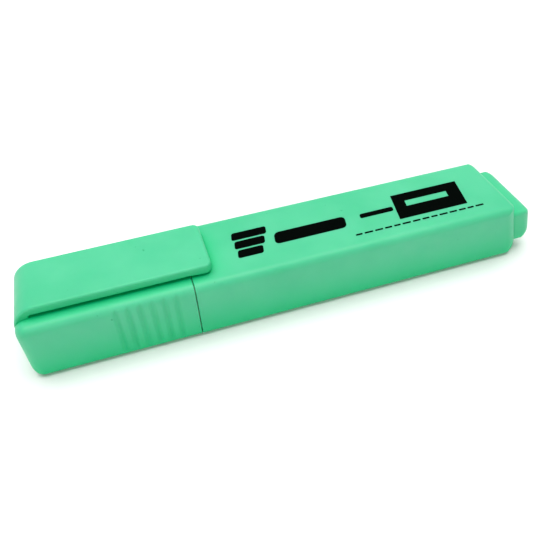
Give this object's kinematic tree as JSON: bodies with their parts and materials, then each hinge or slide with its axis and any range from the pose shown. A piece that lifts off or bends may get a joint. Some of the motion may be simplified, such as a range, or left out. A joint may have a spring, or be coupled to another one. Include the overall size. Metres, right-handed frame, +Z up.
{
  "type": "highlighter",
  "caption": "Flat boxy highlighter lying on its wide face, with a ribbed push-on cap, a springy pocket clip, a chisel nib and a stepped rear plug.",
  "frame": {"origin": "under the middle of the whole pen, on the plane it rests on", "axes": "+X along the pen from the cap's closed end to the rear plug, +Y across the width, +Z up through the clip"},
  "size_m": [0.1234, 0.0218, 0.018],
  "materials": {
    "body_plastic": "satin moulded polypropylene, pastel mint green",
    "nozzle_plastic": "satin natural white polypropylene",
    "nib_fibre": "pressed fibre soaked with pastel green ink",
    "reservoir_fibre": "bundled polyester fibre soaked with ink",
    "film": "thin clear film",
    "seal_plastic": "soft natural polyethylene"
  },
  "bodies": {
    "barrel": {"barrel": "body_plastic", "nozzle_section": "nozzle_plastic", "nib": "nib_fibre", "reservoir_core": "reservoir_fibre", "reservoir_film": "film", "end_plug": "body_plastic"},
    "cap": {"cap_shell": "body_plastic", "inner_cap": "seal_plastic"},
    "clip": {"clip": "body_plastic"}
  },
  "joints": [
    {"name": "cap_slide", "type": "slide", "parent": "barrel", "child": "cap", "axis": [-1, 0, 0], "range_m": [0, 0.042]},
    {"name": "clip_flex", "type": "hinge", "parent": "cap", "child": "clip", "pos_m": [-0.0565, 0, 0.018], "axis": [0, -1, 0], "range_deg": [0, 5], "stiffness_Nm_per_rad": 0.3}
  ]
}
